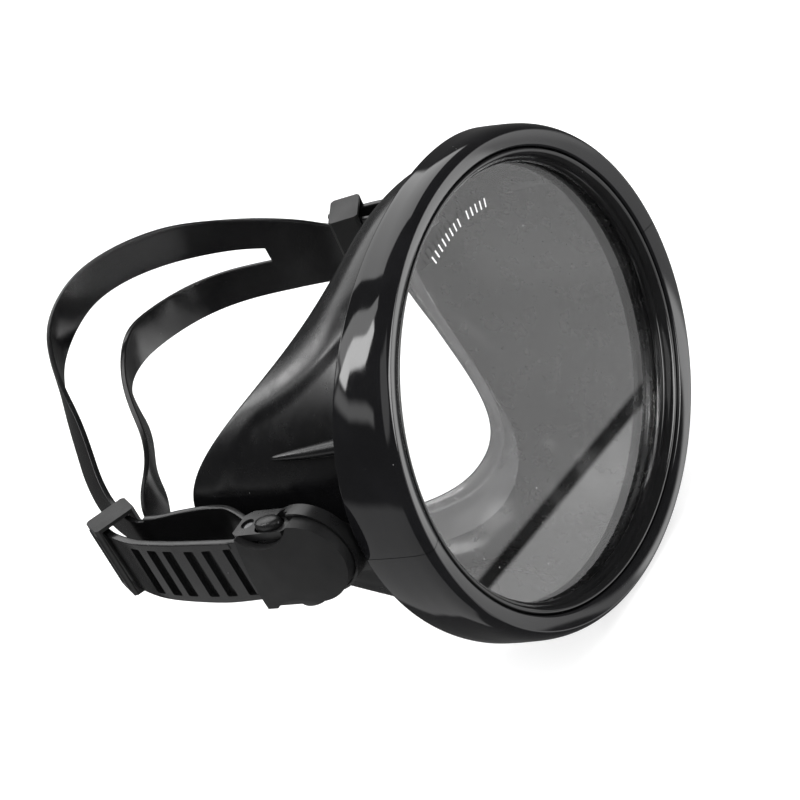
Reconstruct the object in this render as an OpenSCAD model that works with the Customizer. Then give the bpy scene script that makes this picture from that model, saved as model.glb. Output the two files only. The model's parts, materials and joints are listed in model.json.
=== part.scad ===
// Round single-lens diving mask with a swivelling buckle each side and a split head strap.
// Origin: centre of the plane of the frame's front crest. The lens faces -Y, the diver's face
// is towards +Y, +Z is up as worn and +X is on the viewer's right when the viewer faces the lens.

/* [Frame and lens] */
// Half width of the frame's front crest
crest_a = 80; // [70:1:90]
// Height of the oval as a share of its width
oval = 0.9375; // [0.85:0.0125:1]
// Outer half width of the frame's side wall
wall_a = 82.3; // [81:0.1:85]
// Depth of the side wall at the top and bottom of the mask
wall_depth = 12.6; // [12:0.1:16]
// How much deeper the side wall is at the temples
temple_extra = 11.6; // [6:0.1:14]
// Thickness of the tempered glass
glass_t = 4; // [3:0.5:5]
// Depth of the glass front below the crest
glass_y = 8; // [6:0.5:10]

/* [Skirt] */
// Half width of the sealing rim at the temples
rim_a = 64.5; // [60:0.5:70]
// Height of the rim's middle above the lens axis
rim_z = 5; // [0:0.5:10]
// Half height of the rim
rim_b = 54.5; // [48:0.5:60]
// Depth of the rim at the middle of the forehead and lip
rim_y = 41; // [38:0.5:50]
// How much further back the rim goes at the temples
rim_sweep = 52; // [35:1:60]
// Thickness of the rubber wall
skirt_t = 2; // [1.5:0.1:3]

/* [Buckles] */
// Depth of the swivel pin behind the crest
pivot_y = 40.5; // [38:0.5:45]
// Height of the swivel pin
pivot_z = 3.5; // [0:0.5:5]
// Upward tilt of the left buckle as it lies
tilt_left = -1; // [-15:0.5:15]
// Upward tilt of the right buckle as it lies
tilt_right = 5.5; // [-15:0.5:15]
// Half height of the buckle body over its cheeks
cheek_z = 13.8; // [13:0.1:17]
// Thickness of a cheek
cheek_t = 2.6; // [2:0.1:4]
// Radius of the strap roller
roller_r = 2.4; // [2:0.1:4]
// Inward travel of a squeeze button
press = 2; // [1:0.5:3]

/* [Strap] */
// Width of the ribbed tails
tail_w = 22; // [18:0.5:25]
// Width of the strap beside the head
strap_w = 26; // [22:0.5:30]
// Width of each of the two bands behind the head
band_w = 12.4; // [10:0.1:16]
// Thickness of the strap rubber
strap_t = 2; // [1.5:0.1:3]
// Grip slots in each tail
slots = 6; // [4:1:9]

/* [Hidden] */
$fn = 96;
roller_x = 82.5;                 // outboard place of the roller
roller_y = 59.5;                 // depth of the roller
pin_r = 3;                       // swivel pin
run = 0.05;                      // radial running clearance
screw_x = 77.6;                  // temple screws, through lugs and bracket
screw_y = 18.5;
// Middle of each keeper, outboard and back, and how far the strap heads inward there.
keeper_left_at = [70.6, 123.7, 35];
keeper_right_at = [75.1, 111.6, 25];
seam = 0.1;                      // half the gap between the frame halves
saddle_r = (wall_a * wall_a + temple_extra * temple_extra) / (2 * temple_extra);
nose_y = -0.2;                   // middle of the rounded front of the buckle
nose_z = 2;
dome_r = 95;
turn_r = roller_r + 0.3 + strap_t / 2;
black = [0.05, 0.05, 0.055];
rubber = [0.09, 0.09, 0.095];
steel = [0.62, 0.63, 0.65];
clear_glass = [0.75, 0.8, 0.8, 0.35];

// ---------- helpers ----------

// Outboard shapes are drawn for the right side (+X) and mirrored for the left.
module on_side(s) { if (s < 0) mirror([1, 0, 0]) children(); else children(); }

// The buckle and everything it carries tilts about its swivel pin.
module tilted(s) {
    on_side(s) translate([0, pivot_y, pivot_z]) rotate([s < 0 ? tilt_left : tilt_right, 0, 0]) children();
}

// Turns a profile of [radius, depth] points round the lens axis and makes it oval.
module oval_ring() { scale([1, 1, oval]) rotate([-90, 0, 0]) rotate_extrude() children(); }

// A cylinder along X or Z.
module rod_x(r, x0, x1) { translate([x0, 0, 0]) rotate([0, 90, 0]) cylinder(r = r, h = x1 - x0); }
module rod_z(r, z0, z1) { translate([0, 0, z0]) cylinder(r = r, h = z1 - z0); }

function unit(v) = v / norm(v);
function spline(a, b, c, d, u) =
    0.5 * (2 * b + (c - a) * u + (2 * a - 5 * b + 4 * c - d) * u * u + (3 * b - a - 3 * c + d) * u * u * u);
// A smooth run of points through P, n steps between neighbours.
function smooth(P, n) = concat([for (i = [0:len(P) - 2]) for (k = [0:n - 1])
    spline(P[max(i - 1, 0)], P[i], P[i + 1], P[min(i + 2, len(P) - 1)], k / n)], [P[len(P) - 1]]);

// ---------- frame ----------

module frame_ring() {
    difference() {
        oval_ring() polygon([
            [79.6, 0], [80, 0.1], [80.4, 0.45], [80.9, 1.1], [81.5, 2.2], [82, 3.8], [wall_a, 6],
            [wall_a + 0.3, 14], [wall_a, 30], [79.6, 30], [79.6, 11.9], [76.8, 11.6], [76.8, 9.7],
            [78.95, 9.5], [78.95, 4.3], [74.45, 3.6], [74.5, 1.7], [75, 1.2]]);
        // The rear edge dips at the top and bottom and reaches back at the temples.
        translate([0, wall_depth + saddle_r, -100]) cylinder(r = saddle_r, h = 200, $fn = 256);
        // Room for each screw's head and shank beside the wall.
        for (s = [-1, 1]) on_side(s) translate([screw_x, screw_y, 0]) {
            rod_z(2.1, -15.5, -12.9, $fn = 48);
            rod_z(1.15, -13.5, -6, $fn = 48);
        }
    }
}

// Lugs inside the temples hold the two halves and the buckle bracket on one screw each side.
module temple_lug(s, z0, z1, r) {
    on_side(s) difference() {
        translate([75.3, 14, z0]) cube([5.1, 9, z1 - z0]);
        translate([screw_x, screw_y, z0 - 1]) cylinder(r = r, h = z1 - z0 + (z0 > 0 ? 0 : 2), $fn = 48);
    }
}

module frame_half(up) {
    color(black) {
        intersection() {
            frame_ring();
            translate([-100, -5, up ? seam : -100]) cube([200, 60, 100 - seam]);
        }
        for (s = [-1, 1]) temple_lug(s, up ? 6 : -13, up ? 13 : -6, up ? 1.05 : 1.1);
    }
}
module frame_upper() { frame_half(true); }
module frame_lower() { frame_half(false); }

module frame_screws() {
    color(steel) for (s = [-1, 1]) on_side(s) translate([screw_x, screw_y, 0]) {
        rod_z(1, -13.1, 11.5, $fn = 48);
        difference() {
            rod_z(1.9, -14.7, -13.1, $fn = 48);
            rod_z(0.9, -15.2, -14, $fn = 6);
        }
    }
}

// ---------- glass ----------

module lens_glass() {
    color(clear_glass) translate([0, glass_y, 0]) rotate([-90, 0, 0])
        linear_extrude(glass_t) polygon([for (t = [0:2.5:357.5]) 73.9 * [cos(t), oval * sin(t)]]);
}

// ---------- skirt ----------

stations = 72;
function ov(r, y, t) = [r * cos(t), y, oval * r * sin(t)];
// Middle of the rounded rear rim at angle t round the mask.
function rim(t) = [rim_a * cos(t),
    rim_y + rim_sweep * pow(abs(cos(t)), sin(t) > 0 ? 3.5 : 2.2) - 3 * sin(t),
    rim_z + rim_b * sin(t) + 3.5 * pow(cos(t), 2)];
function inward(t) = [-cos(t), 0, -sin(t)];
function front(t) = ov(74.4, 13, t);
function aim(t) = unit(rim(t) - front(t));
function near_angle(t, c) = exp(-pow((t - c) / 11, 2));
// Finger wells press in either side of the nose so that it can be pinched.
function well(t, u) = 7 * (near_angle(t, 244) + near_angle(t, 296)) * pow(sin(180 * u), 2);
// Outer surface of the wall, u from 0 at the frame to 1 at the rim.
function wall(t, u) = front(t) * (1 - u) + (rim(t) - 2.2 * inward(t)) * u
    - inward(t) * (4.5 * pow(sin(t), 2) * 4 * u * (1 - u) - well(t, u));
// Width of the sealing flange, widest on the upper lip.
function flange_w(t) = 13 + (sin(t) < 0 ? 7 : 1) * pow(sin(t), 2);
function edge(t) = rim(t) + inward(t) * flange_w(t) - [0, 12 * pow(cos(t), 2), 0];
function loop(t) = let (r = rim(t), d = aim(t), n = inward(t), e = edge(t), m = (r + e) / 2) concat(
    // bead and thin inner ring in front of the glass
    [for (p = [[70, 7.85], [70.1, 5.3], [70.9, 4.5], [71.4, 3.1], [72.5, 1.9], [73.6, 1.6], [74.15, 2.4],
        [74.15, 4], [78.7, 4.7], [78.7, 9.15], [76.4, 9.35], [76.3, 12.2]]) ov(p[0], p[1], t)],
    // wall outside, rounded rim, flange against the face
    [for (u = [0.04, 0.2, 0.35, 0.5, 0.65, 0.8, 0.93]) wall(t, u)],
    [r - 2.2 * n + 0.4 * d, r - 1.5 * n + 1.6 * d, r + 2.2 * d, m + 0.4 * d, e + 0.4 * d],
    // flange inside, wall inside, lip behind the glass
    [e - 0.5 * d, m - 1.2 * d, r + 2.6 * n - 3.2 * d],
    [for (u = [0.8, 0.6, 0.4, 0.2]) wall(t, u) + skirt_t * n],
    [for (p = [[72.3, 13.8], [70.4, 13.6], [70.4, 12.15], [74.1, 12.15], [74.1, 7.85]]) ov(p[0], p[1], t)]);

// A tapered stiffening rib runs back from the frame along each temple.
module rib(s) {
    path = [for (k = [0:4]) wall(26 - 1.2 * k, 0.1 + 0.13 * k)];
    on_side(s) for (k = [0:3]) hull() {
        translate(path[k]) sphere(r = 2.4 - 0.38 * k, $fn = 20);
        translate(path[k + 1]) sphere(r = 2.4 - 0.38 * (k + 1), $fn = 20);
    }
}

module skirt() {
    pts = [for (i = [0:stations - 1]) loop(360 * i / stations)];
    n = len(pts[0]);
    color(rubber) union() {
        polyhedron(points = [for (row = pts) for (p = row) p],
            faces = [for (i = [0:stations - 1]) for (j = [0:n - 1]) for (half = [0, 1])
                let (a = i * n + j, b = i * n + (j + 1) % n,
                    c = ((i + 1) % stations) * n + (j + 1) % n, d = ((i + 1) % stations) * n + j)
                half == 0 ? [a, c, b] : [a, d, c]]);
        rib(-1);
        rib(1);
    }
}

// ---------- buckles ----------

// The bracket is screwed between the temple lugs and carries the swivel pin.
module bracket(s) {
    color(black) on_side(s) difference() {
        translate([76, 0, 0]) rotate([90, 0, 90]) linear_extrude(3.2) union() {
            translate([pivot_y, pivot_z]) circle(r = 11.5);
            polygon([[13, -5.8], [24, -5.8], [pivot_y - 4, pivot_z - 10.5], [pivot_y, pivot_z - 10.5],
                [pivot_y, pivot_z + 10.5], [pivot_y - 4, pivot_z + 10.5], [24, 5.8], [13, 5.8]]);
        }
        translate([70, pivot_y, pivot_z]) rotate([0, 90, 0]) cylinder(r = pin_r + 0.02, h = 20);
        translate([screw_x, screw_y, -10]) cylinder(r = 1.15, h = 20, $fn = 48);
    }
}
module bracket_left() { bracket(-1); }
module bracket_right() { bracket(1); }

module swivel_pin(s) {
    color(steel) tilted(s) {
        rod_x(4.2, 74.9, 75.9);
        rod_x(pin_r, 75.9, 82.75);
        rod_x(5, 82.75, 84.2);
    }
}
module swivel_pin_left() { swivel_pin(-1); }
module swivel_pin_right() { swivel_pin(1); }

// Rear end of the buckle, measured from the swivel pin.
back = 63 - pivot_y;
axle = roller_y - pivot_y;
button_y = 49.7 - pivot_y;

// One cheek above or below the strap, with a window for its button and a bore for the axle.
module cheek(up) {
    z0 = up ? cheek_z - cheek_t : -cheek_z;
    difference() {
        translate([0, 0, z0]) linear_extrude(cheek_t) polygon([[79.6, 2], [87.2, 2], [88, 3], [88, back - 2],
            [86.5, back], [78.5, back], [76.5, back - 2.5], [76.5, 5], [78, 3]]);
        translate([84.3, button_y, z0 - 1]) linear_extrude(cheek_t + 2) oval_2d(10.8, 6.4);
        translate([roller_x, axle, z0 - 1]) cylinder(r = 1.5 + run, h = cheek_t + 2, $fn = 48);
        translate([roller_x, axle, up ? cheek_z - 0.8 : -cheek_z - 0.2]) cylinder(r = 2.2, h = 1, $fn = 48);
    }
}
// A stadium outline of length l along Y and width w.
module oval_2d(l, w) {
    for (k = [-1, 1]) translate([0, k * (l - w) / 2]) circle(d = w, $fn = 48);
    square([w, l - w], center = true);
}

module buckle_body(s) {
    color(black) tilted(s) {
        difference() {
            union() {
                translate([0, nose_y, nose_z]) rod_x(15.1, 79.55, 82.65);
                translate([79.55, 0, -cheek_z]) cube([3.1, 12.5, 2 * cheek_z]);
                // Lip round the front of the cover.
                translate([0, nose_y, nose_z]) difference() {
                    rod_x(15.1, 82.6, 84.2);
                    rod_x(14.4, 82, 85);
                    translate([82, 1.5, -20]) cube([5, 20, 40]);
                }
            }
            translate([70, 0, 0]) rotate([0, 90, 0]) cylinder(r = pin_r + run, h = 20);
            // Room behind for the strap's turn round the roller.
            translate([79, 13.8, -20]) cube([10, 5, 40]);
            // Pockets that the button feet move in.
            for (k = [-1, 1]) translate([80.9, 3.1, k * 12.8 - 5.4]) cube([4, 13, 10.8]);
        }
        cheek(true);
        cheek(false);
    }
}
module buckle_body_left() { buckle_body(-1); }
module buckle_body_right() { buckle_body(1); }

// D-shaped cover with a domed face, scooped beside each button; its nose wraps down over the swivel.
module buckle_cover(s) {
    color(black) tilted(s) {
        difference() {
            intersection() {
                translate([82.8, 0, 0]) rotate([90, 0, 90]) linear_extrude(10) union() {
                    translate([nose_y, nose_z]) circle(r = 13.9);
                    polygon([[nose_y + 1, nose_z - 13.8], [22.6, -13.2], [19.7, 13.9],
                        [nose_y + 1, nose_z + 13.8]]);
                }
                translate([91.5 - dome_r, 12, 0]) sphere(r = dome_r, $fn = 200);
            }
            translate([82, 1.8, -20]) cube([6.1, 30, 40]);
            translate([0, nose_y, nose_z]) rod_x(11.9, 82, 86);
            for (k = [-1, 1]) translate([80, 10, k * 22.9]) rotate([0, 90, 0]) cylinder(r = 13, h = 20);
        }
        difference() {
            rod_x(8, 82.8, 88.3);
            rod_x(6, 82, 87);
        }
    }
}
module buckle_cover_left() { buckle_cover(-1); }
module buckle_cover_right() { buckle_cover(1); }

module roller(s) {
    color(black) tilted(s) translate([roller_x, axle, 0]) difference() {
        rod_z(roller_r, -10.8, 10.8);
        rod_z(1.5 + run, -13, 13, $fn = 48);
    }
}
module roller_left() { roller(-1); }
module roller_right() { roller(1); }

module roller_axle(s) {
    color(steel) tilted(s) translate([roller_x, axle, 0]) rod_z(1.5, 0.7 - cheek_z, cheek_z - 0.7, $fn = 48);
}
module roller_axle_left() { roller_axle(-1); }
module roller_axle_right() { roller_axle(1); }

// A squeeze button stands out of its cheek and is kept in by a wider foot.
module button(s, up) {
    color(black) tilted(s) mirror([0, 0, up ? 0 : 1]) translate([84.3, button_y, 0]) {
        translate([0, 0, 10.8]) linear_extrude(cheek_z + 2.6 - 10.8) oval_2d(10.2, 6);
        translate([-3.2, -5.7, 9.7]) cube([6.8, 10.3, 1.2]);
    }
}
module button_upper_left() { button(-1, true); }
module button_lower_left() { button(-1, false); }
module button_upper_right() { button(1, true); }
module button_lower_right() { button(1, false); }

// ---------- keepers ----------

// A square loop that holds the tail against the strap.
module keeper(s) {
    at = s < 0 ? keeper_left_at : keeper_right_at;
    color(black) tilted(s) translate([at[0], at[1] - pivot_y, s < 0 ? 0.5 : 0.6]) rotate([0, 0, at[2]])
        difference() {
            linear_extrude(26, center = true) chamfered(14.4, 10.2, 1);
            cube([11.4, 12, 23.6], center = true);
        }
}
module chamfered(x, y, c) {
    polygon([[c - x / 2, -y / 2], [x / 2 - c, -y / 2], [x / 2, c - y / 2], [x / 2, y / 2 - c],
        [x / 2 - c, y / 2], [c - x / 2, y / 2], [-x / 2, y / 2 - c], [-x / 2, c - y / 2]]);
}
module keeper_left() { keeper(-1); }
module keeper_right() { keeper(1); }

// ---------- strap ----------

// Each point is [x, y, z, width, lean]; lean tips the top edge away from the head.
// Tail outside, turn round the roller, inner run to the split; outboard and from the pin's height.
tail_left = [[71.2, 129.4, 0, tail_w, 0], [73.8, 125.6, 0, tail_w, 0], [78, 118.5, 0, tail_w, 0],
    [81.8, 108, -0.3, 22.4, 0], [84, 95, -0.6, 23, 0], [85.4, 80, -0.8, 23.4, 0], [86.2, 66, -0.4, 22.4, 0]];
tail_right = [[75, 119.2, 0, tail_w, 0], [76.4, 116.6, 0, tail_w, 0], [78.4, 112.6, 0, tail_w, 0],
    [82, 103, 0, tail_w, 0], [84.3, 91.5, 0, tail_w, 0], [85.5, 79, 0, tail_w, 0], [86.2, 66, 0, tail_w, 0]];
turn_path = concat([[86.2, 67, 0, tail_w, 0]],
    [for (a = [0:15:180]) [roller_x + turn_r * cos(a), roller_y - turn_r * sin(a), 0, tail_w, 0]]);
run_left = [[77.9, 63, 0, tail_w, 0], [71.6, 74, 0, 24, 0], [70.2, 82, 0, 25, 0],
    [71.5, 93, 0, strap_w, 0], [73, 102, 0, strap_w, 0], [73, 108, 0, strap_w, 0]];
run_right = [[77.9, 63, 0, tail_w, 0], [74.2, 74, 0, tail_w, 0], [73.8, 86, 0, tail_w, 0],
    [74.2, 98, 0, tail_w, 0], [72.3, 110.2, 0, tail_w, 0], [69, 119.5, 1.5, 22.5, 0],
    [65, 128.8, 4.2, 21, 0], [62.4, 133.8, 3.6, 17, 0], [60.8, 137.4, 3.2, 15, 0]];
// The two bands behind the head, from the right split to the left one.
band_upper = [[72.5, 109.6, 15.2, 10.8, 0], [70.6, 115, 15.9, 10.2, 0], [69, 119.4, 18.6, 11.2, 0],
    [64.8, 128, 23.7, 12, 0], [60, 140, 28.9, 12, 0], [56.8, 146, 31.6, 12.2, 0], [45, 153, 38.4, band_w, 0],
    [31, 159, 44.6, band_w, 0], [16, 165, 48, band_w, 0], [3, 168, 47.5, band_w, 0],
    [-9, 169, 43.6, band_w, -5], [-19, 166, 39.5, band_w, -12], [-29, 159.5, 34.8, band_w, -14],
    [-38, 152, 29.6, band_w, -24], [-46, 146, 23.4, band_w, -32], [-54, 140.5, 17.4, band_w, -30],
    [-61, 133.5, 10.4, band_w, -12], [-67.6, 121.8, 7, 12, 0], [-72, 112.2, 6.8, band_w, 0],
    [-73, 104, 8.6, band_w, 0]];
band_lower = [[72.3, 110.4, 5, 11, 0], [70.6, 115, 5.3, 11, 0], [69, 119.4, 6.4, 11.6, 0],
    [65, 128, 8.8, 12, 0], [60, 139.5, 10.7, 12.2, 0], [57, 146, 12.2, band_w, 0], [47, 157, 15.4, band_w, 0],
    [33, 162, 18.2, band_w, 0], [18, 161, 22.2, band_w, 0], [5, 157.5, 25, band_w, -8],
    [-10, 151.5, 24.5, band_w, -22], [-22, 141, 22, band_w, 2], [-33, 131.5, 18.3, band_w, -2],
    [-42, 126, 14.6, band_w, -18], [-50, 122, 9.5, band_w, 2], [-58, 119.5, 5, band_w, 20],
    [-65.5, 113.5, 0.2, band_w, 10], [-71, 108.5, -3.6, band_w, 0], [-73, 103, -4.6, band_w, 0]];

function xyz(p) = [p[0], p[1], p[2]];
function heading(P, i) = unit(xyz(P[min(i + 1, len(P) - 1)]) - xyz(P[max(i - 1, 0)]));

// A flat ribbon t thick swept along P, its long corners eased.
module ribbon(P, t) {
    c = 0.4;
    m = len(P);
    ring = [for (i = [0:m - 1]) let (d = heading(P, i), up = unit([0, 0, 1] - d[2] * d), out = cross(d, up),
        w = up * cos(P[i][4]) + out * sin(P[i][4]), n = cross(w, d), h = P[i][3] / 2)
        for (q = [[h, t / 2 - c], [h - c, t / 2], [c - h, t / 2], [-h, t / 2 - c],
            [-h, c - t / 2], [c - h, -t / 2], [h - c, -t / 2], [h, c - t / 2]])
                xyz(P[i]) + w * q[0] + n * q[1]];
    polyhedron(points = ring, faces = concat([[for (j = [7:-1:0]) j], [for (j = [0:7]) (m - 1) * 8 + j]],
        [for (i = [0:m - 2]) for (j = [0:7]) for (half = [0, 1])
            let (a = i * 8 + j, b = i * 8 + (j + 1) % 8, c = b + 8, d = a + 8)
            half == 0 ? [a, c, d] : [a, b, c]]));
}

// Recesses with rounded ends across the outer face of a tail; the ribs between them grip the buckle.
module grip_slots(P) {
    for (k = [0:slots - 1]) let (p = P[6 + 3 * k], d = heading(P, 6 + 3 * k))
        translate([p[0], p[1], p[2]]) rotate([0, 0, atan2(d[1], d[0])]) hull()
            for (z = [-7, 7], x = [-0.6, 0.6]) translate([x, -strap_t / 2 + 0.2, z])
                rotate([90, 0, 0]) cylinder(r = 1, h = 2, $fn = 16);
}

module side_strap(s) {
    tail = smooth(s < 0 ? tail_left : tail_right, 4);
    inner = smooth(s < 0 ? run_left : run_right, 3);
    tilted(s) translate([0, -pivot_y, 0]) {
        difference() {
            ribbon(tail, strap_t + 0.4);
            grip_slots(tail);
        }
        ribbon(concat(turn_path, inner), strap_t);
    }
}

module strap() {
    color(rubber) union() {
        side_strap(-1);
        side_strap(1);
        ribbon(smooth(band_upper, 3), strap_t - 0.2);
        ribbon(smooth(band_lower, 3), strap_t - 0.2);
    }
}

frame_upper();
frame_lower();
lens_glass();
skirt();
frame_screws();
bracket_left();
bracket_right();
swivel_pin_left();
swivel_pin_right();
buckle_body_left();
buckle_body_right();
buckle_cover_left();
buckle_cover_right();
roller_left();
roller_right();
roller_axle_left();
roller_axle_right();
button_upper_left();
button_lower_left();
button_upper_right();
button_lower_right();
keeper_left();
keeper_right();
strap();
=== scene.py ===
import json
import math

import bmesh
import bpy
from mathutils import Matrix, Vector

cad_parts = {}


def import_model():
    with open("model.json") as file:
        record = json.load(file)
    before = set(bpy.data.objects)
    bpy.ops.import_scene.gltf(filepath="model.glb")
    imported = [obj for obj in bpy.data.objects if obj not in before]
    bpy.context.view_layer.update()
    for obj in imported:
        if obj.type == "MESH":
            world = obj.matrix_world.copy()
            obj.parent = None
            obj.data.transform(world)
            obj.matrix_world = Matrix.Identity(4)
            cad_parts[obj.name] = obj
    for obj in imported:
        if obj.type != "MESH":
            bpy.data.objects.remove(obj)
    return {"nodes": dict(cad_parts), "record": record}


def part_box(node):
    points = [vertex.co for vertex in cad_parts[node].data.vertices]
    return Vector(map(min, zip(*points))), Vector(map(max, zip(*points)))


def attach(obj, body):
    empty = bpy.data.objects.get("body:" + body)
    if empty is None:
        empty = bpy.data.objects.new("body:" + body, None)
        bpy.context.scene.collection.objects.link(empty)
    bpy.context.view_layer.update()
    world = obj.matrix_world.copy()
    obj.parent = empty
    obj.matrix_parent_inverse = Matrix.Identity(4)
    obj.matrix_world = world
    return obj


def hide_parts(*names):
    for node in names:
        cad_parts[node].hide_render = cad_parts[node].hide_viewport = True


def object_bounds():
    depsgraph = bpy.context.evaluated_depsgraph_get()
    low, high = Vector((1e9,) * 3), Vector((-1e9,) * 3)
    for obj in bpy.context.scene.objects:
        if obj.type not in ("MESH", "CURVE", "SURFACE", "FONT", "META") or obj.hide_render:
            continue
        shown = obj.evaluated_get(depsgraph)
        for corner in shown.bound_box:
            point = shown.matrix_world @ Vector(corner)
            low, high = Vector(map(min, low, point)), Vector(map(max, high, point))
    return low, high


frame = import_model()
CAD_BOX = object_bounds()
NODES = frame["nodes"]
JOINTS = {j["name"]: j for j in frame["record"]["behaviour"]["joints"]}
MM = 0.001


# ---------- small maths, all lengths in millimetres until a mesh is made ----------

def lerp(a, b, u):
    """The value a share u of the way from a to b."""
    return a + (b - a) * u


def smoothstep(a, b, x):
    """0 before a, 1 after b, with a soft start and end."""
    u = min(max((x - a) / (b - a), 0.0), 1.0)
    return u * u * (3 - 2 * u)


def spline(P, n):
    """Catmull-Rom points through P (tuples of any length), n steps between neighbours."""
    out = []
    for i in range(len(P) - 1):
        a, b, c, d = P[max(i - 1, 0)], P[i], P[i + 1], P[min(i + 2, len(P) - 1)]
        for k in range(n):
            u = k / n
            out.append(tuple(
                0.5 * (2 * q + (r - p) * u + (2 * p - 5 * q + 4 * r - s) * u * u
                       + (3 * q - p - 3 * r + s) * u ** 3)
                for p, q, r, s in zip(a, b, c, d)))
    out.append(tuple(P[-1]))
    return out


def eased(poly, n=3):
    """Closed outline of (x, y, ease): each corner becomes a short curve that starts 'ease' away."""
    out = []
    for i, (x, y, e) in enumerate(poly):
        p = Vector((x, y))
        a, b = Vector(poly[i - 1][:2]), Vector(poly[(i + 1) % len(poly)][:2])
        ea, eb = min(e, 0.45 * (a - p).length), min(e, 0.45 * (b - p).length)
        if e <= 0:
            out.append(tuple(p))
            continue
        p0, p1 = p + (a - p).normalized() * ea, p + (b - p).normalized() * eb
        for k in range(n + 1):
            u = k / n
            q = p0 * (1 - u) ** 2 + p * 2 * u * (1 - u) + p1 * u * u
            out.append((q.x, q.y))
    return out


def corner_cut(ring):
    """Rounds a closed ring of vectors, twice over: four points for each one."""
    for _ in range(2):
        ring = [v for a, b in zip(ring, ring[1:] + ring[:1])
                for v in (a * 0.75 + b * 0.25, a * 0.25 + b * 0.75)]
    return ring


# ---------- meshes ----------

def finish_piece(o, body, slot, replaces=(), sharp=40):
    """Shades the piece, gives it the material of its slot, ties it to its body and hides the CAD nodes it
    replaces.
    """
    o.data.shade_smooth()
    o.data.set_sharp_from_angle(angle=math.radians(sharp))
    o.data.materials.clear()
    o.data.materials.append(MATERIALS[slot])
    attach(o, body)
    if replaces:
        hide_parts(*replaces)


def new_mesh(name, verts, faces):
    """A new object from points in millimetres."""
    me = bpy.data.meshes.new(name)
    me.from_pydata([Vector(v) * MM for v in verts], [], faces)
    me.validate()
    me.update()
    o = bpy.data.objects.new(name, me)
    bpy.context.scene.collection.objects.link(o)
    return o


def loft(rings, closed=False):
    """Vertices and outward faces of closed rings joined one to the next."""
    n, m = len(rings[0]), len(rings)
    verts = [v for r in rings for v in r]
    faces = []
    for i in range(m if closed else m - 1):
        k = (i + 1) % m
        for j in range(n):
            l = (j + 1) % n
            faces.append((i * n + j, i * n + l, k * n + l, k * n + j))
    if not closed:
        faces.append(tuple(reversed(range(n))))
        faces.append(tuple(range((m - 1) * n, m * n)))
    return verts, faces


def joined(parts):
    """Several lofts as one list of points and one of faces."""
    verts, faces = [], []
    for v, f in parts:
        base = len(verts)
        verts += v
        faces += [tuple(i + base for i in q) for q in f]
    return verts, faces


def outward(o):
    """Makes every face point out of its solid."""
    bm = bmesh.new()
    bm.from_mesh(o.data)
    bmesh.ops.recalc_face_normals(bm, faces=bm.faces)
    bm.to_mesh(o.data)
    bm.free()
    return o


def applied(o):
    """The mesh with its modifiers applied."""
    dg = bpy.context.evaluated_depsgraph_get()
    dg.update()
    me = bpy.data.meshes.new_from_object(o.evaluated_get(dg))
    o.modifiers.clear()
    o.data = me
    return o


def bevel(o, width):
    """Eases the object's edges sharper than 30 degrees."""
    b = o.modifiers.new("eased edges", "BEVEL")
    b.width, b.segments, b.limit_method = width * MM, 2, "ANGLE"
    b.angle_limit = math.radians(30)


# ---------- materials ----------

class Nodes:
    """A material's node tree with short ways to add to it."""

    def __init__(self, name):
        self.mat = bpy.data.materials.new(name)
        self.mat.use_nodes = True
        self.nt = self.mat.node_tree
        self.bsdf = self.nt.nodes["Principled BSDF"]
        self.out = self.nt.nodes["Material Output"]
        self.coord = self.add("ShaderNodeTexCoord").outputs["Object"]

    def add(self, kind, **props):
        n = self.nt.nodes.new(kind)
        for k, v in props.items():
            setattr(n, k, v)
        return n

    def link(self, a, b):
        self.nt.links.new(a, b)

    def noise(self, per_mm, detail=3, rough=0.5):
        n = self.add("ShaderNodeTexNoise")
        n.inputs["Scale"].default_value = per_mm / MM
        n.inputs["Detail"].default_value = detail
        n.inputs["Roughness"].default_value = rough
        self.link(self.coord, n.inputs["Vector"])
        return n.outputs["Fac"]

    def specks(self, per_mm, inner, outer, strength):
        """Small round spots on a random grid: 'strength' inside the inner radius, 0 past the outer."""
        n = self.add("ShaderNodeTexVoronoi")
        n.inputs["Scale"].default_value = per_mm / MM
        self.link(self.coord, n.inputs["Vector"])
        return self.remap(n.outputs["Distance"], inner, outer, strength, 0)

    def remap(self, value, a, b, lo, hi):
        n = self.add("ShaderNodeMapRange", interpolation_type="SMOOTHSTEP")
        for k, v in zip(("From Min", "From Max", "To Min", "To Max"), (a, b, lo, hi)):
            n.inputs[k].default_value = v
        self.link(value, n.inputs["Value"])
        return n.outputs["Result"]

    def math(self, op, a, b):
        n = self.add("ShaderNodeMath", operation=op)
        for s, v in zip(n.inputs, (a, b)):
            if isinstance(v, (int, float)):
                s.default_value = v
            else:
                self.link(v, s)
        return n.outputs[0]

    def mix(self, fac, a, b):
        n = self.add("ShaderNodeMix", data_type="RGBA")
        self.link(fac, n.inputs["Factor"])
        for s, v in ((n.inputs[6], a), (n.inputs[7], b)):
            if isinstance(v, tuple):
                s.default_value = (*v, 1)
            else:
                self.link(v, s)
        return n.outputs[2]

    def either(self, fac, a, b):
        """Shader a, or shader b where the factor is 1."""
        n = self.add("ShaderNodeMixShader")
        for s, v in zip(n.inputs, (fac, a, b)):
            self.link(v, s)
        return n.outputs[0]

    def shader(self, kind, color):
        n = self.add(kind)
        n.inputs["Color"].default_value = (*color, 1)
        return n.outputs[0]

    def bump(self, height, depth_mm, under=None):
        n = self.add("ShaderNodeBump")
        n.inputs["Distance"].default_value = depth_mm * MM
        self.link(height, n.inputs["Height"])
        if under:
            self.link(under, n.inputs["Normal"])
        return n.outputs["Normal"]

    def set(self, **values):
        for k, v in values.items():
            s = self.bsdf.inputs[k.replace("_", " ")]
            if isinstance(v, tuple):
                s.default_value = (*v, 1)
            elif isinstance(v, (int, float)):
                s.default_value = v
            else:
                self.link(v, s)


DUST = (0.3, 0.3, 0.3)


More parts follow.
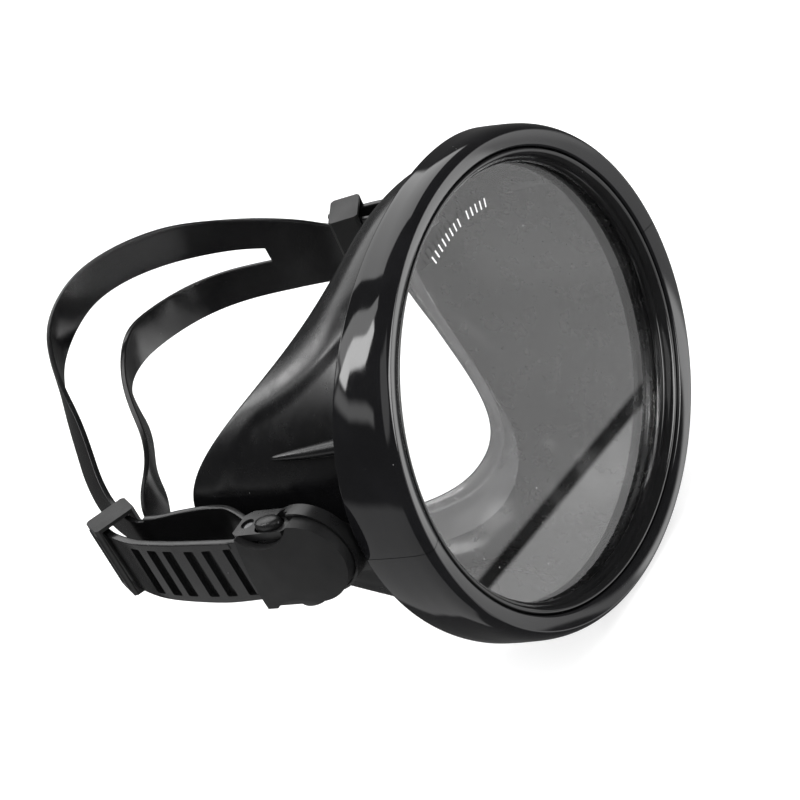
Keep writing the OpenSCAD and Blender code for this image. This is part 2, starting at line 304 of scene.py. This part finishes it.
def moulded(name, color, rough, grain, grain_mm, wave_mm=0.0, specks=0.0, shine=0.5):
    """Black moulded plastic or rubber: cloudy colour, patchy gloss, fine grain, slow waves, dust."""
    m = Nodes(name)
    cloud = m.noise(0.05, 4, 0.6)
    fine = m.noise(1 / grain, 2, 0.6)
    smear = m.noise(0.16, 5, 0.65)
    base = m.mix(m.remap(cloud, 0.35, 0.7, 0, 1), color, tuple(c * 1.5 for c in color))
    if specks:
        dot = m.specks(0.22, 0.02, 0.05, 1)
        some = m.remap(m.noise(0.11, 0), 0.58, 0.64, 0, specks)
        base = m.mix(m.math("MULTIPLY", dot, some), base, DUST)
    gloss = m.remap(smear, 0.3, 0.75, rough[0], rough[1])
    normal = m.bump(fine, grain_mm)
    if wave_mm:
        normal = m.bump(m.noise(0.035, 1, 0.4), wave_mm, under=normal)
    m.set(Base_Color=base, Roughness=gloss, Normal=normal, Specular_IOR_Level=shine)
    return m.mat


def lens_material():
    """Clear glass that lets lamps reach the inside, with faint smears and dust."""
    m = Nodes("lens glass")
    smear = m.noise(0.03, 5, 0.62)
    m.set(Base_Color=(0.985, 0.985, 0.985), Transmission_Weight=1.0, IOR=1.52,
          Roughness=m.remap(smear, 0.5, 0.8, 0.0, 0.012))
    lamp = m.add("ShaderNodeLightPath").outputs["Is Shadow Ray"]
    clear = m.shader("ShaderNodeBsdfTransparent", (0.95, 0.95, 0.95))
    glass = m.either(lamp, m.bsdf.outputs[0], clear)
    dot = m.specks(0.11, 0.014, 0.034, 0.75)
    some = m.remap(m.noise(0.06, 0), 0.5, 0.56, 0, 1)
    dust = m.shader("ShaderNodeBsdfDiffuse", (0.6, 0.6, 0.6))
    m.link(m.either(m.math("MULTIPLY", dot, some), glass, dust), m.out.inputs["Surface"])
    return m.mat


def print_material():
    """White screen print, a little uneven."""
    m = Nodes("white print")
    m.set(Base_Color=m.mix(m.noise(0.8, 3), (0.7, 0.7, 0.7), (0.9, 0.9, 0.9)), Roughness=0.6)
    return m.mat


def steel_material():
    """Turned stainless steel with a fine uneven finish."""
    m = Nodes("stainless steel")
    turned = m.noise(1.5, 3, 0.6)
    m.set(Base_Color=m.mix(turned, (0.10, 0.10, 0.105), (0.2, 0.2, 0.205)), Metallic=1.0,
          Roughness=m.remap(turned, 0.3, 0.7, 0.22, 0.4), Normal=m.bump(turned, 0.01))
    return m.mat


MATERIALS = {
    "frame": moulded("glossy nylon", (0.004, 0.004, 0.0045), (0.04, 0.09), 0.5, 0.0006,
                     wave_mm=0.004, specks=0.5),
    "lens": lens_material(),
    "skirt": moulded("satin silicone", (0.003, 0.003, 0.0033), (0.2, 0.3), 0.12, 0.003,
                     wave_mm=0.04, specks=0.8, shine=0.42),
    "skirt inside": moulded("silicone inside", (0.006, 0.006, 0.0061), (0.2, 0.32), 0.12, 0.001,
                            wave_mm=0.12, specks=0.8, shine=0.45),
    # The lip's lighter grey is a painted highlight: the silicone is as black as the rest, and only the edge
    # of the flange catches light.
    "skirt lip": moulded("silicone lip with painted highlight", (0.06, 0.06, 0.061), (0.17, 0.3), 0.12, 0.002,
                         wave_mm=0.06, specks=0.8, shine=0.6),
    "skirt bead": moulded("silicone bead", (0.004, 0.004, 0.0042), (0.07, 0.13), 0.12, 0.001,
                          wave_mm=0.004, specks=0.6),
    "strap": moulded("strap silicone", (0.004, 0.004, 0.0042), (0.17, 0.27), 0.15, 0.004,
                     wave_mm=0.03, specks=0.3, shine=0.4),
    "buckle": moulded("buckle nylon", (0.005, 0.005, 0.0052), (0.26, 0.36), 0.12, 0.006, shine=0.4),
    "cover": moulded("textured nylon", (0.006, 0.006, 0.0062), (0.4, 0.5), 0.16, 0.04, shine=0.27),
    "button": moulded("button nylon", (0.006, 0.006, 0.0062), (0.25, 0.35), 0.14, 0.015, shine=0.4),
    "keeper": moulded("keeper nylon", (0.007, 0.007, 0.0072), (0.34, 0.45), 0.14, 0.02, shine=0.38),
    "steel": steel_material(),
    "print": print_material(),
}

# ---------- frame ring ----------

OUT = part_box("frame_upper")[1].x / MM          # largest half width of the side wall
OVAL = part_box("frame_upper")[1].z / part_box("frame_upper")[1].x
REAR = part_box("frame_upper")[1].y / MM         # rear edge at the temples
CREST = OUT - 2.6                              # radius of the front crest
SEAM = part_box("frame_upper")[0].z / MM         # half the gap between the frame's halves
WALL_A, WALL_DEPTH = OUT - 0.3, 12.6           # side wall: radius at its front, depth at top and bottom
SADDLE = (WALL_A ** 2 + (REAR - WALL_DEPTH) ** 2) / (2 * (REAR - WALL_DEPTH))


def ov(r, y, t):
    """Point at radius r, depth y and angle t (degrees) round the oval lens axis."""
    a = math.radians(t)
    return Vector((r * math.cos(a), y, OVAL * r * math.sin(a)))


def rear_edge(t):
    """Depth of the frame's rear edge, an arc that runs back towards the temples."""
    x = WALL_A * math.cos(math.radians(t))
    return WALL_DEPTH + SADDLE - math.sqrt(SADDLE ** 2 - x * x)


def wall_radius(y):
    """Radius of the side wall, a little fuller in the middle."""
    return WALL_A + (0.3 * (y - 6) / 8 if y < 14 else 0.3 * (30 - y) / 16)


def frame_section(t):
    """The frame's cross section at angle t: crest, side wall, rear edge and inner flange."""
    y = rear_edge(t)
    c = CREST
    poly = [(c - 5, 1.2, 0.3), (c - 0.4, 0, 0.3), (c + 0.35, 0.5, 0.25), (c + 0.9, 1.1, 0.5),
            (c + 1.5, 2.2, 0.8), (c + 2, 3.8, 1.2), (WALL_A, 6, 1.5)]
    poly += [(wall_radius(v), v, 0.8) for v in (lerp(6, y, 0.3), lerp(6, y, 0.6))]
    poly += [(wall_radius(y), y, 0.7), (c - 0.4, y, 0.35), (c - 0.4, 11.9, 0.15),
             (c - 3.2, 11.6, 0.2), (c - 3.2, 9.7, 0.2), (c - 1.05, 9.5, 0.1), (c - 1.05, 4.3, 0.1),
             (c - 5.55, 3.6, 0.25), (c - 5.5, 1.7, 0.3)]
    return [ov(r, v, t) for r, v in eased(poly)]


def block(x0, x1, y0, y1, z0, z1):
    """A plain box."""
    p = [Vector((x, y, z)) for z in (z0, z1) for x, y in ((x0, y0), (x1, y0), (x1, y1), (x0, y1))]
    return loft([p[:4], p[4:]])


def frame_half(name, up):
    """One half of the frame, cut square at the seam, with a screw lug inside each temple."""
    rings = []
    for t in range(181):
        ring = frame_section(t + (0 if up else 180))
        if t in (0, 180):
            for v in ring:
                v.z = SEAM if up else -SEAM
        rings.append(ring)
    parts = [loft(rings)]
    for s in (-1, 1):
        x0, x1 = sorted((s * (CREST - 4.7), s * (CREST + 0.4)))
        parts.append(block(x0, x1, 14, 23, *((6, 13) if up else (-13, -6))))
    o = outward(new_mesh(name, *joined(parts)))
    finish_piece(o, "mask", "frame", [name.replace("_shell", "")], sharp=50)


frame_half("frame_upper_shell", True)
frame_half("frame_lower_shell", False)

# ---------- lens ----------

def lens():
    """The oval pane, with its edges ground off."""
    lo, hi = (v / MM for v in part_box("lens_glass"))
    a, e = hi.x, 0.4
    rings = [[ov(r, y, 1.5 * i) for i in range(240)]
             for r, y in ((a - e, lo.y), (a, lo.y + e), (a, hi.y - e), (a - e, hi.y))]
    o = outward(new_mesh("lens_pane", *loft(rings)))
    finish_piece(o, "mask", "lens", ["lens_glass"], sharp=20)


lens()


def plain_ticks():
    """Eight and five plain tick marks printed near the upper edge of the glass."""
    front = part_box("lens_glass")[0].y / MM
    first, apart, radius, half_w, half_h, gap = 100.5, 2.45, 59.6, 0.32, 1.4, 8
    parts = []
    for i in [k for k in range(14) if k != gap]:
        t = first - apart * i
        c = ov(radius, 0, t)
        out = ov(1, 0, t).normalized()
        side = Vector((-out.z, 0, out.x))
        corners = [c + side * x * half_w + out * z * half_h for x, z in ((-1, -1), (1, -1), (1, 1), (-1, 1))]
        parts.append(loft([[v + Vector((0, y, 0)) for v in corners] for y in (front - 0.03, front + 0.02)]))
    o = outward(new_mesh("lens_ticks", *joined(parts)))
    finish_piece(o, "mask", "lens")
    o.data.materials[0] = MATERIALS["print"]


plain_ticks()

# ---------- skirt ----------

RIM_A, RIM_B = 64.5, 54.5                      # half width and half height of the rear rim
RIM_Y, RIM_Z, RIM_SWEEP = 41, 5, 52            # its depth and height, and how far the temples go back
WALL_T = 2
BEAD = CREST - 5.6                             # where the skirt's bead meets the ring
STATIONS = 288                                 # cross sections round the skirt
# Places round a rounded cross section (first, last), which has four points for each one drawn. The lip's
# range gets a lighter grey that paints in the highlight on its edge.
BEAD_POINTS, INSIDE_POINTS, LIP_HIGHLIGHT_POINTS = (0, 43), (180, 243), (178, 197)


def rim(t):
    """The skirt's rear rim, which goes back at the temples."""
    c, s = math.cos(math.radians(t)), math.sin(math.radians(t))
    return Vector((RIM_A * c, RIM_Y + RIM_SWEEP * abs(c) ** (3.5 if s > 0 else 2.2) - 3 * s,
                   RIM_Z + RIM_B * s + 3.5 * c * c))


def inward(t):
    """Towards the lens axis."""
    return Vector((-math.cos(math.radians(t)), 0, -math.sin(math.radians(t))))


def near_angle(t, c):
    """1 at angle c, fading out about 20 degrees either side."""
    d = (t - c + 180) % 360 - 180
    return math.exp(-(d / 11) ** 2)


def wall(t, u, panel=False):
    """Outer surface of the skirt's wall, u from 0 at the frame to 1 at the rim, with a finger well
    each side of the nose and, where wanted, the temple's flat panel."""
    n = inward(t)
    out = 4.5 * math.sin(math.radians(t)) ** 2 * 4 * u * (1 - u)
    well = 7 * (near_angle(t, 244) + near_angle(t, 296)) * math.sin(math.pi * u) ** 2
    if panel:
        well += side_panel(t, u)
    return ov(BEAD, 13, t) * (1 - u) + (rim(t) - 2.2 * n) * u - n * (out - well)


def side_panel(t, u):
    """The flat panel on each temple is set in a little, inside a soft ridge."""
    above = t if t < 90 else t - 360 if t > 270 else 180 - t
    top = lerp(58, 34, smoothstep(0, 1, u))
    return smoothstep(top, top - 7, above) * smoothstep(-32, -26, above) * smoothstep(0.9, 0.8, u)


def skirt_section(t):
    """The skirt's cross section at angle t: bead and groove, outer wall, rim, flange, inner wall."""
    r, n = rim(t), inward(t)
    s2 = math.sin(math.radians(t)) ** 2
    c2 = 1 - s2
    d = (r - ov(BEAD, 13, t)).normalized()
    flange = 13 + (7 if math.sin(math.radians(t)) < 0 else 1) * s2
    e = r + n * flange - Vector((0, 12 * c2, 0))
    m = (r + e) / 2
    b = BEAD
    front = [(b - 4.4, 7.85), (b - 4.3, 5.3), (b - 3.9, 4.75), (b - 3.45, 4.5), (b - 3.35, 4.1),
             (b - 3.0, 3.1), (b - 1.9, 1.9), (b - 0.8, 1.6), (b - 0.25, 2.4), (b - 0.25, 4),
             (b + 4.3, 4.7), (b + 4.3, 9.15), (b + 2, 9.35), (b + 1.9, 12.2)]
    ring = [ov(x, y, t) for x, y in front]
    ring += [wall(t, 0.04 + 0.89 * k / 22, True) for k in range(23)]
    ring += [r - 2.2 * n + 0.4 * d, r - 1.9 * n + 1.2 * d, r - 1.2 * n + 1.9 * d, r - 0.2 * n + 2.2 * d,
             r + 0.8 * n + 1.9 * d, m + 0.4 * d, e * 0.9 + m * 0.1 + 0.35 * d, e + 0.1 * d]
    ring += [e - 0.4 * d, e * 0.8 + m * 0.2 - 0.9 * d, e - 3.4 * d - 1.2 * n, e - 3.8 * d - 2.0 * n,
             lerp(m, e, 0.25) - 1.9 * d, r + 2.6 * n - 3.2 * d]
    ring += [wall(t, u) + WALL_T * n for u in (0.86, 0.74, 0.62, 0.5, 0.38, 0.26, 0.16)]
    ring += [ov(x, y, t) for x, y in ((b - 2.2, 14.2), (b - 2.4, 13.6), (b - 2.3, 12.15), (b - 0.3, 12.15),
                                      (b - 0.3, 7.85))]
    return ring


def skirt():
    """The skirt and its two temple ribs."""
    rings = [corner_cut(skirt_section(360 * i / STATIONS)) for i in range(STATIONS)]
    o = outward(new_mesh("skirt_body", *loft(rings, closed=True)))
    finish_piece(o, "mask", "skirt", ["skirt"], sharp=60)
    # The lip's faces take the lighter grey of its painted highlight.
    zones = ("inside", INSIDE_POINTS), ("bead", BEAD_POINTS), ("lip", LIP_HIGHLIGHT_POINTS)
    for zone, _ in zones:
        o.data.materials.append(MATERIALS["skirt " + zone])
    across = len(rings[0])
    for f in o.data.polygons:
        low, high = min(v % across for v in f.vertices), max(v % across for v in f.vertices)
        for i, (_, (first, last)) in enumerate(zones):
            if first <= low and high <= last:
                f.material_index = i + 1
    for s, side in ((-1, "left"), (1, "right")):
        path = [wall(26 - 1.2 * k, 0.1 + 0.13 * k) for k in range(5)]
        path = [Vector(p) for p in spline([tuple(p) for p in path], 6)]
        rings = []
        for i, p in enumerate(path):
            u = i / (len(path) - 1)
            w = 3.1 * math.sqrt(max(1 - u ** 6, 0.0)) * (1 - 0.6 * u) + 0.05
            ahead = (path[min(i + 1, len(path) - 1)] - path[max(i - 1, 0)]).normalized()
            up = ahead.cross(Vector((1, 0, 0))).normalized()
            out = up.cross(ahead)
            ring = (p + (up * math.cos(a) + out * math.sin(a)) * w
                    for a in (2 * math.pi * k / 16 for k in range(16)))
            rings.append([Vector((s * q.x, q.y, q.z)) for q in ring])
        rib = outward(new_mesh(f"skirt_rib_{side}", *loft(rings)))
        finish_piece(rib, "mask", "skirt")


skirt()

# ---------- strap ----------

PIVOT = Vector(JOINTS["buckle_left_swivel"]["pos_m"]) / MM
PIVOT.x = 0
TILT = {s: math.atan2(a[1], a[2]) for s, a in (
    (-1, JOINTS["roller_left_spin"]["axis"]), (1, JOINTS["roller_right_spin"]["axis"]))}
AXLE_X, AXLE_Y = JOINTS["roller_right_spin"]["pos_m"][0] / MM, 59.5
STRAP_T = 2


def laid(s, v):
    """A point drawn for the right side, untilted, put where that side's buckle lies."""
    p = Vector((v.x, v.y - PIVOT.y, v.z))
    p.rotate(Matrix.Rotation(-TILT[s], 3, "X"))
    return Vector((s * p.x, p.y + PIVOT.y, p.z + PIVOT.z))


def ribbon_rings(P, thick, place=lambda v: v, upright=0):
    """Rounded-edge rings along P, each point (x, y, z, width, lean in degrees). The first 'upright'
    rings stay upright, and the next 40 turn square to the path."""
    ease = 0.55
    pts = [Vector(p[:3]) for p in P]
    rings = []
    for i, p in enumerate(P):
        d = (pts[min(i + 1, len(P) - 1)] - pts[max(i - 1, 0)]).normalized()
        square = smoothstep(upright, upright + 40, i) if upright else 1
        up = (Vector((0, 0, 1)) - d * d.z * square).normalized()
        out = d.cross(up).normalized()
        a = math.radians(p[4])
        w = up * math.cos(a) + out * math.sin(a)
        n = w.cross(d).normalized()
        h, t = p[3] / 2, thick / 2
        ring = eased([(h, t, ease), (0, t, 0), (-h, t, ease), (-h, -t, ease), (0, -t, 0), (h, -t, ease)], 4)
        rings.append([place(pts[i] + w * x + n * y) for x, y in ring])
    return rings


# Points (x, y, z, width, lean) on the right side, untilted: the ribbed tail outside, and the run inside.
TAILS = {
    -1: [(71.2, 129.4, 0, 22, 0), (73.8, 125.6, 0, 22, 0), (78, 118.5, 0, 22, 0), (81.8, 108, -0.3, 22.4, 0),
         (84, 95, -0.6, 23, 0), (85.4, 80, -0.8, 23.4, 0), (86.2, 66, -0.4, 22.4, 0)],
    1: [(75, 119.2, 0, 22, 0), (76.4, 116.6, 0, 22, 0), (78.4, 112.6, 0, 22, 0), (82, 103, 0, 22, 0),
        (84.3, 91.5, 0, 22, 0), (85.5, 79, 0, 22, 0), (86.2, 66, 0, 22, 0)]}
# The half turn round the roller.
TURN = [(86.2, 67, 0, 22, 0)] + [
    (AXLE_X + 3.7 * math.cos(math.radians(a)), AXLE_Y - 3.7 * math.sin(math.radians(a)), 0, 22, 0)
    for a in range(0, 181, 10)]
RUNS = {
    -1: [(77.9, 63, 0, 22, 0), (71.6, 74, 0, 24, 0), (70.2, 82, 0, 25, 0), (71.5, 93, 0, 26, 0),
         (73, 102, 0, 26, 0), (73, 108, 0, 26, 0)],
    1: [(77.9, 63, 0, 22, 0), (74.2, 74, 0, 22, 0), (73.8, 86, 0, 22, 0), (74.2, 98, 0, 22, 0),
        (72.3, 110.2, 0, 22, 0), (70.7, 115, 0.4, 22, 0)]}
BAND_W = 12.4
# Right of the split the two bands are one; left of it each goes its own way round the head.
BAND_UPPER = [(72.5, 109.6, 15.2, 10.8, 0), (70.6, 115, 15.9, 10.2, 0), (69, 119.4, 18.6, 11.2, 0),
              (64.9, 128, 23.7, 12, 0), (60, 139.8, 28.9, 12, 0), (54, 147.4, 33.2, 12.2, 0),
              (44.5, 154, 38.8, BAND_W, 0), (31, 159, 44.6, BAND_W, 0), (16, 165, 48, BAND_W, 0),
              (3, 168, 47.5, BAND_W, 0), (-9, 169, 43.6, BAND_W, -5), (-19, 166, 39.5, BAND_W, -12),
              (-29, 159.5, 34.8, BAND_W, -14), (-38, 152, 29.6, BAND_W, -24), (-46, 146, 23.4, BAND_W, -32),
              (-54, 140.5, 17.4, BAND_W, -30), (-61, 133.5, 10.4, BAND_W, -12), (-67.6, 121.8, 7, 12, 0),
              (-72, 112.2, 6.8, BAND_W, 0), (-73, 104, 8.6, BAND_W, 0)]
BAND_LOWER = [(72.5, 109.6, 5, 11, 0), (70.6, 115, 5.3, 11, 0), (69, 119.4, 6.4, 11.6, 0),
              (64.9, 128, 8.8, 12, 0), (60, 139.8, 10.7, 12.2, 0), (54.5, 148.6, 13, BAND_W, 0),
              (45.5, 157, 15.6, BAND_W, 0), (33, 161.6, 18.4, BAND_W, 0), (18, 161, 22.2, BAND_W, 0),
              (5, 157.5, 25, BAND_W, -8), (-10, 151.5, 24.5, BAND_W, -22), (-22, 141, 22, BAND_W, 2),
              (-33, 131.5, 18.3, BAND_W, -2), (-42, 126, 14.6, BAND_W, -18), (-50, 122, 9.5, BAND_W, 2),
              (-58, 119.5, 5, BAND_W, 20), (-65.5, 113.5, 0.2, BAND_W, 10), (-71, 108.5, -3.6, BAND_W, 0),
              (-73, 103, -4.6, BAND_W, 0)]
SLIT_Y = 137                                   # where the slit between the bands ends
SLOT_Y = (107.5, 100.5, 93, 85, 76.5, 68.2)    # depths of the tail's grip slots


def eased_path(P, reach=8):
    """The path with its bends spread over 'reach' points each way."""
    out = []
    for i in range(len(P)):
        r = min(reach, i, len(P) - 1 - i)
        near = P[i - r:i + r + 1]
        out.append(tuple(sum(q[k] for q in near) / len(near) for k in range(5)))
    return out


def trunk():
    """The undivided strap: top edge of the upper band to bottom edge of the lower one."""
    pts = []
    for u, l in zip(*(eased_path(spline(b, 12))[:70] for b in (BAND_UPPER, BAND_LOWER))):
        top, low = u[2] + u[3] / 2, l[2] - l[3] / 2
        pts.append(((u[0] + l[0]) / 2, (u[1] + l[1]) / 2, (top + low) / 2, top - low, 0))
    return [p for p in pts if p[1] < SLIT_Y]


def slot_cutters(s, tail):
    """Upright grip slots across the outer face of a tail."""
    parts = []
    for y in SLOT_Y:
        i = min(range(1, len(tail) - 1), key=lambda k: abs(tail[k][1] - y))
        p = Vector(tail[i][:3])
        d = (Vector(tail[i + 1][:3]) - Vector(tail[i - 1][:3])).normalized()
        out = Vector((d.y, -d.x, 0))
        if out.x < 0:
            out = -out
        outline = eased([(-2.1, -9, 0.7), (2.1, -9, 0.7), (2.1, 9, 0.7), (-2.1, 9, 0.7)], 4)
        rings = [[laid(s, p + d * (x * w) + Vector((0, 0, z)) + out * h) for x, z in outline]
                 for h, w in ((-0.35, 0.86), (1.6, 1.04))]
        parts.append(loft(rings))
    return parts


def strap():
    """The bands with their turns round both rollers, and the slotted tails."""
    parts = []
    for s in (-1, 1):
        parts.append(loft(ribbon_rings(TURN + spline(RUNS[s], 10), STRAP_T, lambda v, s=s: laid(s, v))))
    whole = trunk()
    parts.append(loft(ribbon_rings(whole, STRAP_T - 0.1, upright=len(whole))))
    for band in (BAND_UPPER, BAND_LOWER):
        parts.append(loft(ribbon_rings(eased_path(spline(band, 12))[26:], STRAP_T - 0.2, upright=24)))
    o = outward(new_mesh("strap_bands", *joined(parts)))
    finish_piece(o, "buckle_left", "strap", ["strap"])
    for s, side in ((-1, "left"), (1, "right")):
        tail = spline(TAILS[s], 10)
        rings = ribbon_rings(tail, STRAP_T + 0.4, lambda v: laid(s, v))
        t = outward(new_mesh(f"strap_tail_{side}", *loft(rings)))
        c = outward(new_mesh("cutter", *joined(slot_cutters(s, tail))))
        b = t.modifiers.new("slots", "BOOLEAN")
        b.operation, b.object, b.solver = "DIFFERENCE", c, "EXACT"
        applied(t)
        bpy.data.objects.remove(c)
        finish_piece(t, "buckle_left", "strap", ["strap"], sharp=35)


strap()

# ---------- keepers ----------

def keeper_rim(side, s, at, up):
    """A raised rounded rim on the keeper's outer face."""
    profile = ((-0.5, 0), (-0.4, 0.32), (-0.2, 0.45), (0.2, 0.45), (0.4, 0.32), (0.5, 0))
    rings = []
    for d in range(24):
        a = 2 * math.pi * d / 24
        c, n = math.cos(a), math.sin(a)
        corner = Vector((0, math.copysign(2.4, c) + 1.4 * c, math.copysign(9.6, n) + 1.4 * n))
        away = Vector((0, c, n))
        rings.append([corner + away * q + Vector((7.1 + h, 0, 0)) for q, h in profile])
    turn = Matrix.Rotation(math.radians(at[2]), 3, "Z")
    rings = [[laid(s, turn @ v + Vector((at[0], at[1], up))) for v in r] for r in rings]
    o = outward(new_mesh(f"keeper_rim_{side}", *loft(rings, closed=True)))
    finish_piece(o, f"keeper_{side}", "keeper")


keeper_rim("left", -1, (70.6, 123.7, 35), 0.5)
keeper_rim("right", 1, (75.1, 111.6, 25), 0.6)

# ---------- buckle buttons ----------

def button(name, s, up):
    """A domed oval push button on its foot, under or over the strap's roller."""
    rings = []
    dome = ((10.9, 0.97), (14.4, 0.97), (15.3, 0.93), (15.9, 0.82), (16.2, 0.6), (16.34, 0.3), (16.38, 0.06))
    for z, k in dome:
        oval = ((84.3 + 3 * k * math.cos(a), PIVOT.y + 9.2 + 5.1 * k * math.sin(a))
                for a in (2 * math.pi * i / 48 for i in range(48)))
        rings.append([laid(s, Vector((x, y, up * z))) for x, y in oval])
    foot = eased([(81.15, 3.6, 0.5), (87.85, 3.6, 0.5), (87.85, 13.7, 0.5), (81.15, 13.7, 0.5)], 3)
    slab = [[laid(s, Vector((x, PIVOT.y + y, up * z))) for x, y in foot] for z in (9.75, 10.95)]
    o = outward(new_mesh(name + "_dome", *joined([loft(rings), loft(slab)])))
    finish_piece(o, name, "button", [name], sharp=50)


for side, s in (("left", -1), ("right", 1)):
    button(f"button_upper_{side}", s, 1)
    button(f"button_lower_{side}", s, -1)

# ---------- CAD nodes that show as they are ----------

for name, node in NODES.items():
    slot = next(p["material_slot"] for p in frame["record"]["subparts"] if p["node"] == name)
    node.data.materials.clear()
    node.data.materials.append(MATERIALS[slot])
    if name.startswith(("buckle", "keeper", "bracket")):
        bevel(node, 0.35)

# ---------- stage, light and camera ----------

def floor():
    """A wide plain white floor, level with the lowest point of the frame."""
    me = bpy.data.meshes.new("floor")
    r, z = 6.0, CAD_BOX[0].z
    me.from_pydata([(-r, -r, z), (r, -r, z), (r, r, z), (-r, r, z)], [], [(0, 1, 2, 3)])
    o = bpy.data.objects.new("floor", me)
    bpy.context.scene.collection.objects.link(o)
    m = Nodes("white sweep")
    m.set(Base_Color=m.mix(m.noise(0.004, 3), (0.5, 0.5, 0.5), (0.54, 0.54, 0.54)), Roughness=0.9,
          Emission_Color=(1.0, 1.0, 1.0), Emission_Strength=0.72)
    # Mirror images on the glass and plastic show the studio, not the floor.
    mirrored = m.math("GREATER_THAN", m.add("ShaderNodeLightPath").outputs["Glossy Depth"], 0.5)
    clear = m.shader("ShaderNodeBsdfTransparent", (1, 1, 1))
    m.link(m.either(mirrored, m.bsdf.outputs[0], clear), m.out.inputs["Surface"])
    me.materials.append(m.mat)
    o.visible_glossy = False


def area_light(name, at, towards, size, power):
    """A square soft box that gives light but is never seen."""
    data = bpy.data.lights.new(name, "AREA")
    data.shape, data.size, data.energy = "SQUARE", size, power
    o = bpy.data.objects.new(name, data)
    bpy.context.scene.collection.objects.link(o)
    o.location = at
    o.rotation_mode = "QUATERNION"
    o.rotation_quaternion = (Vector(towards) - Vector(at)).to_track_quat("-Z", "Y")
    o.visible_glossy = False
    o.visible_camera = False


# Soft panels round the mask: (azimuth from, to, elevation from, to, soft edge, brightness), in degrees.
PANELS = [
    (15, 86, 22, 66, 3, 2.3), (84, 101, 23, 35, 3, 8.5), (103, 119, 36, 66, 2, 2.8),
    (104, 117, 26, 37, 3, 3.0), (117, 131, 33, 60, 2, 10.0), (-106, -72, -3, 22, 3, 8.0),
    (117, 152, 24, 34, 4, 1.6), (-100, -10, -60, -8, 4, 0.95), (-36, -8, -52, -27, 5, 1.1),
    (-76, -46, -21, -9, 3, 3.4), (100, 180, -70, -4, 5, 0.55), (-180, -120, 20, 60, 6, 1.0),
]
AMBIENT = 0.10                                 # brightness of the rest of the studio
SHADE = ((-38.6, -19), 3.5)                    # a dark gap low in front: (azimuth, elevation), radius
# A narrow dark bar lies between these two directions and shows in the glass as a slanting line.
BAR = (Vector((0.6632, -0.5708, -0.4842)), Vector((0.6257, -0.5987, -0.5000)))


def world():
    """The studio that the glossy pieces mirror."""
    w = bpy.data.worlds.new("studio")
    bpy.context.scene.world = w
    w.use_nodes = True
    nt = w.node_tree
    bg = nt.nodes["Background"]
    bg.inputs["Color"].default_value = (1, 1, 1, 1)
    way = nt.nodes.new("ShaderNodeTexCoord").outputs["Generated"]

    def math_node(op, a, b=None):
        n = nt.nodes.new("ShaderNodeMath")
        n.operation = op
        for s, v in zip(n.inputs, (a, b)):
            if isinstance(v, (int, float)):
                s.default_value = v
            elif v is not None:
                nt.links.new(v, s)
        return n.outputs[0]

    def ramp(value, a, b, lo=0.0, hi=1.0):
        n = nt.nodes.new("ShaderNodeMapRange")
        n.interpolation_type = "SMOOTHSTEP"
        for k, v in zip(("From Min", "From Max", "To Min", "To Max"), (a, b, lo, hi)):
            n.inputs[k].default_value = v
        nt.links.new(value, n.inputs["Value"])
        return n.outputs["Result"]

    def dot(v):
        n = nt.nodes.new("ShaderNodeVectorMath")
        n.operation = "DOT_PRODUCT"
        n.inputs[1].default_value = Vector(v).normalized()
        nt.links.new(way, n.inputs[0])
        return n.outputs["Value"]

    xyz = nt.nodes.new("ShaderNodeSeparateXYZ")
    nt.links.new(way, xyz.inputs[0])
    deg = 180 / math.pi
    az = math_node("MULTIPLY", math_node("ARCTAN2", xyz.outputs["Y"], xyz.outputs["X"]), deg)
    el = math_node("MULTIPLY", math_node("ARCSINE", xyz.outputs["Z"]), deg)
    total = AMBIENT
    for a0, a1, e0, e1, soft, bright in PANELS:
        across = math_node("MULTIPLY", ramp(az, a0, a0 + soft), ramp(az, a1 - soft, a1, 1, 0))
        along = math_node("MULTIPLY", ramp(el, e0, e0 + soft), ramp(el, e1 - soft, e1, 1, 0))
        panel = math_node("MULTIPLY", math_node("MULTIPLY", across, along), float(bright))
        total = math_node("ADD", panel, total)
    (a, e), r = SHADE
    a, e = math.radians(a), math.radians(e)
    spot = dot((math.cos(e) * math.cos(a), math.cos(e) * math.sin(a), math.sin(e)))
    gap = ramp(spot, math.cos(math.radians(r + 2)), math.cos(math.radians(r)), 1, 0.1)
    total = math_node("MULTIPLY", total, gap)
    across = dot(BAR[0].cross(BAR[1]))
    ahead = ramp(dot(BAR[0] + BAR[1]), math.cos(math.radians(14)), math.cos(math.radians(7)))
    dark = math_node("MULTIPLY", ramp(math_node("ABSOLUTE", across), 0.0010, 0.0026, 0.98, 0), ahead)
    total = math_node("MULTIPLY", total, math_node("SUBTRACT", 1.0, dark))
    side = math_node("MULTIPLY", ramp(across, -0.002, 0.002, 0.0, 0.6), ahead)
    total = math_node("MULTIPLY", total, math_node("ADD", 1.0, side))
    nt.links.new(total, bg.inputs["Strength"])


def camera():
    """A long lens in front and to the left, looking down on the mask."""
    data = bpy.data.cameras.new("camera")
    data.lens, data.sensor_width = 180, 36
    data.clip_start, data.clip_end = 0.05, 30
    o = bpy.data.objects.new("camera", data)
    bpy.context.scene.collection.objects.link(o)
    at = (-0.80636, -0.71032, 0.56977)
    right = Vector((0.43976758, -0.78528489, -0.43581203))
    back = -Vector((0.64379027, 0.61397882, -0.45668818))
    turn = Matrix((right, back.cross(right), back)).transposed()
    o.matrix_world = Matrix.Translation(at) @ turn.to_4x4()
    bpy.context.scene.camera = o


floor()
area_light("overhead", (-0.2, 0.1, 1.6), (0, 0.05, 0), 2.2, 30)
area_light("front fill", (-0.9, -1.3, 0.9), (0, 0.05, 0), 1.2, 8)
world()
camera()
bpy.context.scene.view_settings.view_transform = "Standard"
